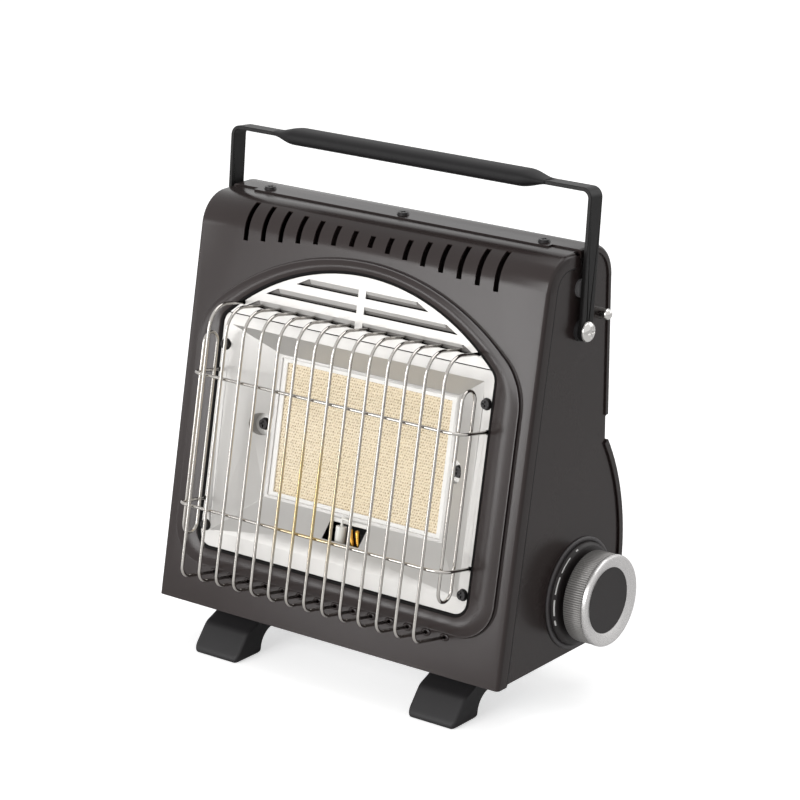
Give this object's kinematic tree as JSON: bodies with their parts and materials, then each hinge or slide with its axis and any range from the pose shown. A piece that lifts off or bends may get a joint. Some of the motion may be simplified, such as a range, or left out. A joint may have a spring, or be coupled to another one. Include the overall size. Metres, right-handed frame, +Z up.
{
  "type": "portable butane heater",
  "caption": "Portable radiant butane heater in dark grey sheet metal with a ceramic burner behind a bright wire guard, a gas knob on the side and a folding carrying handle.",
  "frame": {"origin": "on the floor, below the middle of the casing's width and depth", "axes": "+X towards the gas knob, +Y towards the rear cover, +Z up"},
  "size_m": [0.2976, 0.1584, 0.3262],
  "materials": {
    "casing_paint": "satin powder coat",
    "side_paint": "satin powder coat",
    "strap_paint": "satin",
    "zinc_sheet": "satin",
    "reflector_sheet": "bright satin",
    "burner_ceramic": "matt",
    "fibre_gasket": "matt",
    "nickel_wire": "polished",
    "bright_steel": "polished",
    "brass": "satin",
    "copper_pipe": "satin",
    "insulator": "gloss",
    "black_plastic": "matt",
    "foot_plastic": "matt",
    "grip_plastic": "matt",
    "knob_plastic": "satin",
    "acetal": "matt",
    "black_screw": "satin",
    "rubber": "matt",
    "magnet": "matt"
  },
  "bodies": {
    "casing": {"front_shell": "casing_paint", "side_panel_left": "side_paint", "side_panel_right": "side_paint", "rear_panel": "casing_paint", "base_pan": "zinc_sheet", "louvre_plate": "reflector_sheet", "reflector_tray": "reflector_sheet", "tile_frame": "reflector_sheet", "ceramic_tile": "burner_ceramic", "tile_gasket": "fibre_gasket", "burner_box": "zinc_sheet", "venturi_tube": "zinc_sheet", "injector": "brass", "gas_pipe": "copper_pipe", "igniter_electrode": "insulator", "thermocouple": "copper_pipe", "pilot_bracket": "zinc_sheet", "heat_shield": "zinc_sheet", "cartridge_cradle": "zinc_sheet", "valve_body": "brass", "socket_magnet": "magnet", "valve_bracket": "zinc_sheet", "piezo_igniter": "black_plastic", "dial_plate": "black_plastic", "guard_uprights": "nickel_wire", "guard_crossbars": "nickel_wire", "guard_side_loops": "nickel_wire", "foot_front_left": "foot_plastic", "foot_front_right": "foot_plastic", "foot_rear_left": "foot_plastic", "foot_rear_right": "foot_plastic", "top_screws": "black_screw", "reflector_screws": "black_screw", "burner_screws": "black_screw", "foot_screws": "zinc_sheet", "handle_washers": "rubber", "handle_pivot_screws": "bright_steel", "handle_stop_pins": "bright_steel", "handle_rub_buttons": "rubber", "cover_hinge_rod": "bright_steel", "cover_catch": "bright_steel"},
    "handle": {"handle_strap": "strap_paint", "handle_grip": "grip_plastic"},
    "cam": {"cam_sleeve": "acetal"},
    "knob": {"valve_spindle": "bright_steel", "knob_ring": "knob_plastic", "knob_cap": "black_plastic"},
    "cover": {"rear_cover": "side_paint"}
  },
  "joints": [
    {"name": "handle_swing", "type": "hinge", "parent": "casing", "child": "handle", "pos_m": [0, 0.02375, 0.236], "axis": [-1, 0, 0], "range_deg": [-98, 33]},
    {"name": "knob_turn", "type": "hinge", "parent": "casing", "child": "cam", "pos_m": [0.118, 0.02775, 0.069], "axis": [-1, 0, 0], "range_deg": [0, 120]},
    {"name": "knob_push", "type": "slide", "parent": "cam", "child": "knob", "axis": [-1, 0, 0], "range_m": [0, 0.003], "stiffness_N_per_m": 600},
    {"name": "cover_swing", "type": "hinge", "parent": "casing", "child": "cover", "pos_m": [0, 0.0484, 0.16495], "axis": [1, 0, 0], "range_deg": [0, 85]}
  ]
}
